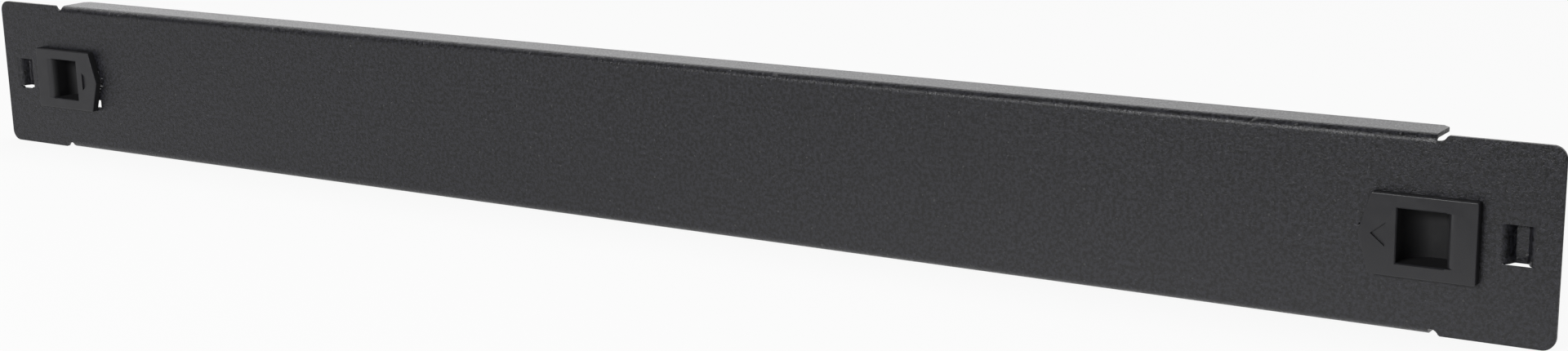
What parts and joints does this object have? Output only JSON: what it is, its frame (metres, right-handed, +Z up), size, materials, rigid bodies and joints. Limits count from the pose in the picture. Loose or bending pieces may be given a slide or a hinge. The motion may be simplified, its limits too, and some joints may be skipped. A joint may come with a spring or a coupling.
{
  "type": "rack blanking panel",
  "caption": "Folded steel blanking panel for a 19 inch rack, one unit high, held without tools by lanced lugs and sprung slide latches with finger pockets.",
  "frame": {"origin": "middle of the plane on which both ears seat against the rack rails, the sheet's rear face", "axes": "+X along the panel, to the right as seen from the front; +Y to the rear, into the rack; +Z up"},
  "size_m": [0.4826, 0.013, 0.044],
  "materials": {
    "powder_coat": "fine-textured satin black powder coat",
    "latch_plastic": "fine spark-textured black nylon",
    "bolt_plastic": "black nylon",
    "spring_steel": "dark phosphated spring wire"
  },
  "bodies": {
    "panel": {"panel": "powder_coat", "latch_spring_left": "spring_steel", "latch_spring_right": "spring_steel"},
    "latch_left": {"latch_slider_left": "latch_plastic", "latch_bolt_left": "bolt_plastic"},
    "latch_right": {"latch_slider_right": "latch_plastic", "latch_bolt_right": "bolt_plastic"}
  },
  "joints": [
    {"name": "latch_slide_left", "type": "slide", "parent": "panel", "child": "latch_left", "axis": [1, 0, 0], "range_m": [0, 0.0042], "stiffness_N_per_m": 800, "springref_m": -0.002, "deforming": ["latch_spring_left"]},
    {"name": "latch_slide_right", "type": "slide", "parent": "panel", "child": "latch_right", "axis": [-1, 0, 0], "range_m": [0, 0.0042], "stiffness_N_per_m": 800, "springref_m": -0.002, "deforming": ["latch_spring_right"]}
  ]
}
